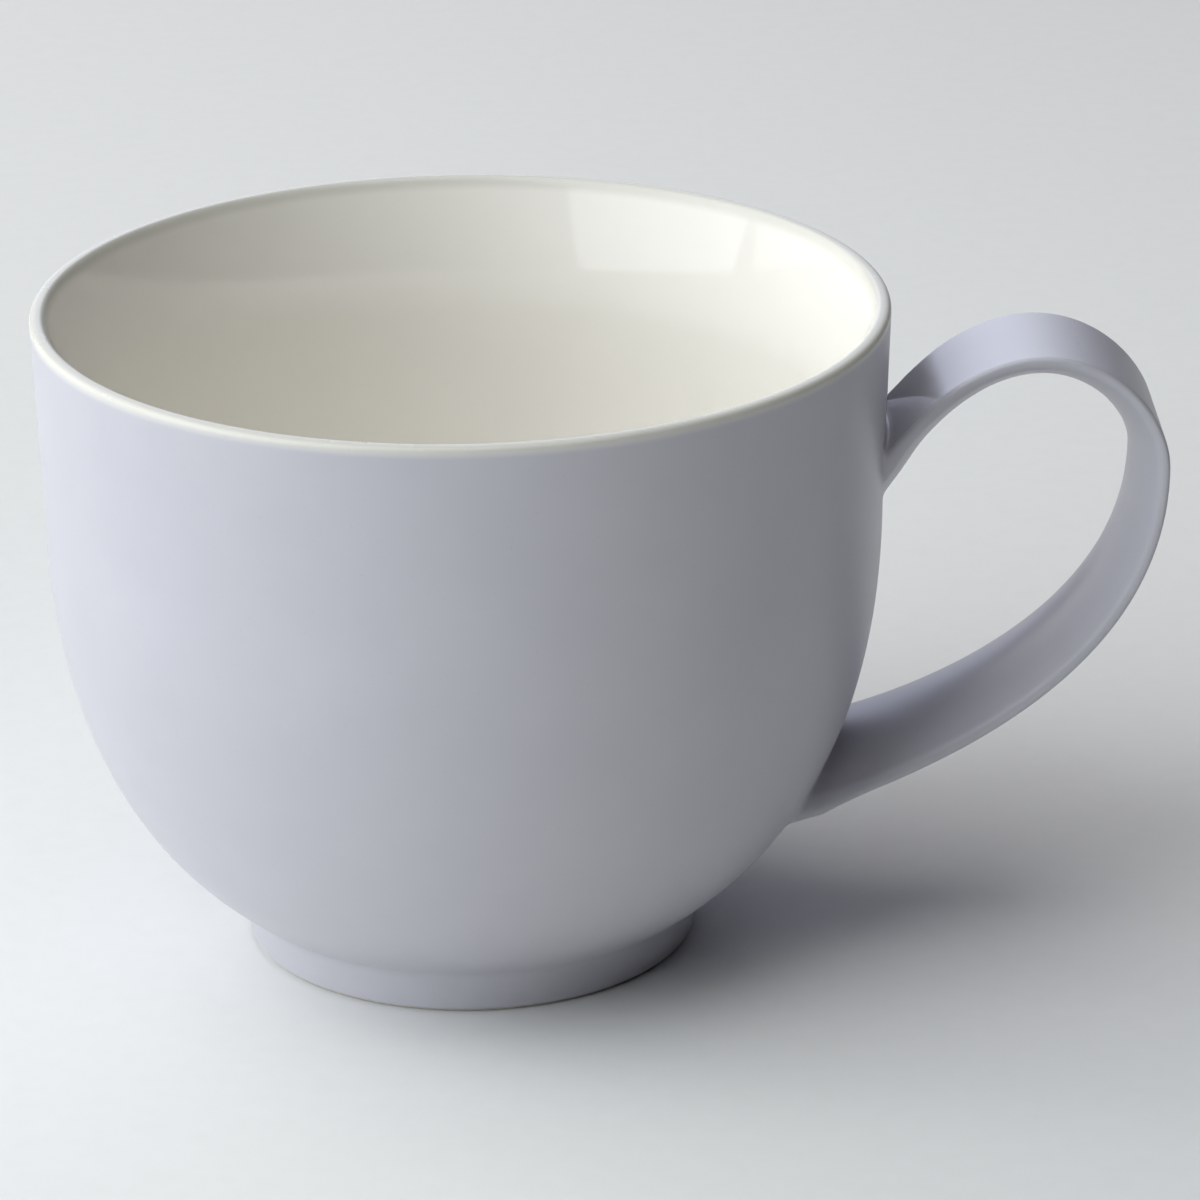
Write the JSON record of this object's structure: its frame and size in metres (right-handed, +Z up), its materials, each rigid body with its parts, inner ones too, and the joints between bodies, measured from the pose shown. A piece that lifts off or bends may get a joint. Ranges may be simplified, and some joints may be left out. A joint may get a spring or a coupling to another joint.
{
  "type": "cappuccino cup",
  "caption": "Round stoneware cup on a low foot ring, with a strap handle, a white glazed inside and a satin grey outside; holds a hot milk coffee.",
  "frame": {"origin": "middle of the standing ring, on the table", "axes": "+Z up out of the mouth, +X towards the handle, +Y to complete a right-handed frame"},
  "size_m": [0.1269, 0.096, 0.0755],
  "materials": {
    "clay": "fired stoneware body, bare and matt at the standing edge",
    "slip": "fired joining slip, hidden under the coat",
    "liner_glaze": "warm white gloss",
    "outer_glaze": "lavender grey satin"
  },
  "bodies": {
    "root": {"bowl": "clay", "foot_ring": "clay", "handle": "clay", "upper_slip_joint": "slip", "lower_slip_joint": "slip", "liner_glaze": "liner_glaze", "outer_glaze": "outer_glaze", "handle_glaze": "outer_glaze", "base_glaze": "outer_glaze"}
  },
  "joints": []
}
